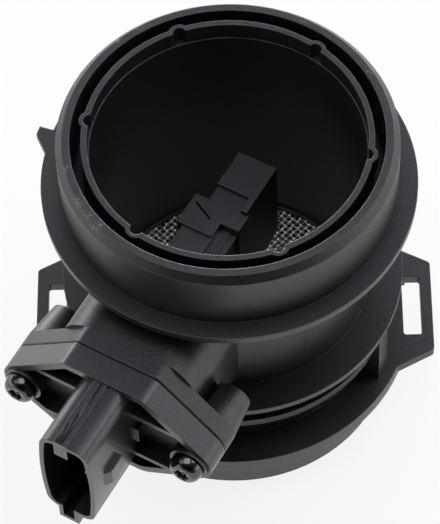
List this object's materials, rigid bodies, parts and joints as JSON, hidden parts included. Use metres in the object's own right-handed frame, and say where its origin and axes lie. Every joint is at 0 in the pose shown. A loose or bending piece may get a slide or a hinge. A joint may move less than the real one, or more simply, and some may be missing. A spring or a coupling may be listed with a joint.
{
  "type": "mass airflow sensor",
  "caption": "Short moulded intake tube with a flanged base, slotted ears, an inlet screen and a plug-in hot-film probe with a cable socket.",
  "frame": {"origin": "on the bore axis, at the bottom rim of the inlet collar, on which the part stands", "axes": "+Z along the bore axis, from the inlet collar towards the hose spigot, so with the air flow; X runs through both slotted ears; the plug-in sensor and its cable socket point out towards -Y and a little towards -X, 240 degrees from +X seen from above"},
  "size_m": [0.1295, 0.1444, 0.116],
  "materials": {
    "housing_plastic": "satin black glass-filled moulding",
    "sensor_plastic": "satin black moulding",
    "cover_plastic": "satin black moulding",
    "screen_plastic": "matt black moulding",
    "screen_wire": "bright stainless wire",
    "spring_steel": "bright spring steel",
    "seal_rubber": "matt",
    "carrier_metal": "plain sheet",
    "board_laminate": "coated laminate",
    "chip_case": "matt moulding compound",
    "capacitor_case": "fired",
    "gel": "clear soft gel",
    "film_silicon": "polished",
    "thermistor_glass": "glassy bead",
    "terminal_plating": "tin plated",
    "screw_coating": "glossy black coating",
    "insert_brass": "turned"
  },
  "bodies": {
    "root": {"housing": "housing_plastic", "screen_frame": "screen_plastic", "screen_mesh": "screen_wire", "snap_ring": "spring_steel", "sensor_body": "sensor_plastic", "bypass_cover": "cover_plastic", "electronics_cover": "cover_plastic", "seal_ring": "seal_rubber", "carrier_plate": "carrier_metal", "circuit_board": "board_laminate", "control_chip": "chip_case", "capacitors": "capacitor_case", "gel_fill": "gel", "chip_holder": "cover_plastic", "hot_film_chip": "film_silicon", "air_thermistor": "thermistor_glass", "sensor_screw_left": "screw_coating", "sensor_screw_right": "screw_coating", "threaded_insert_left": "insert_brass", "threaded_insert_right": "insert_brass", "terminal_1": "terminal_plating", "terminal_2": "terminal_plating", "terminal_3": "terminal_plating", "terminal_4": "terminal_plating", "terminal_5": "terminal_plating"}
  },
  "joints": []
}
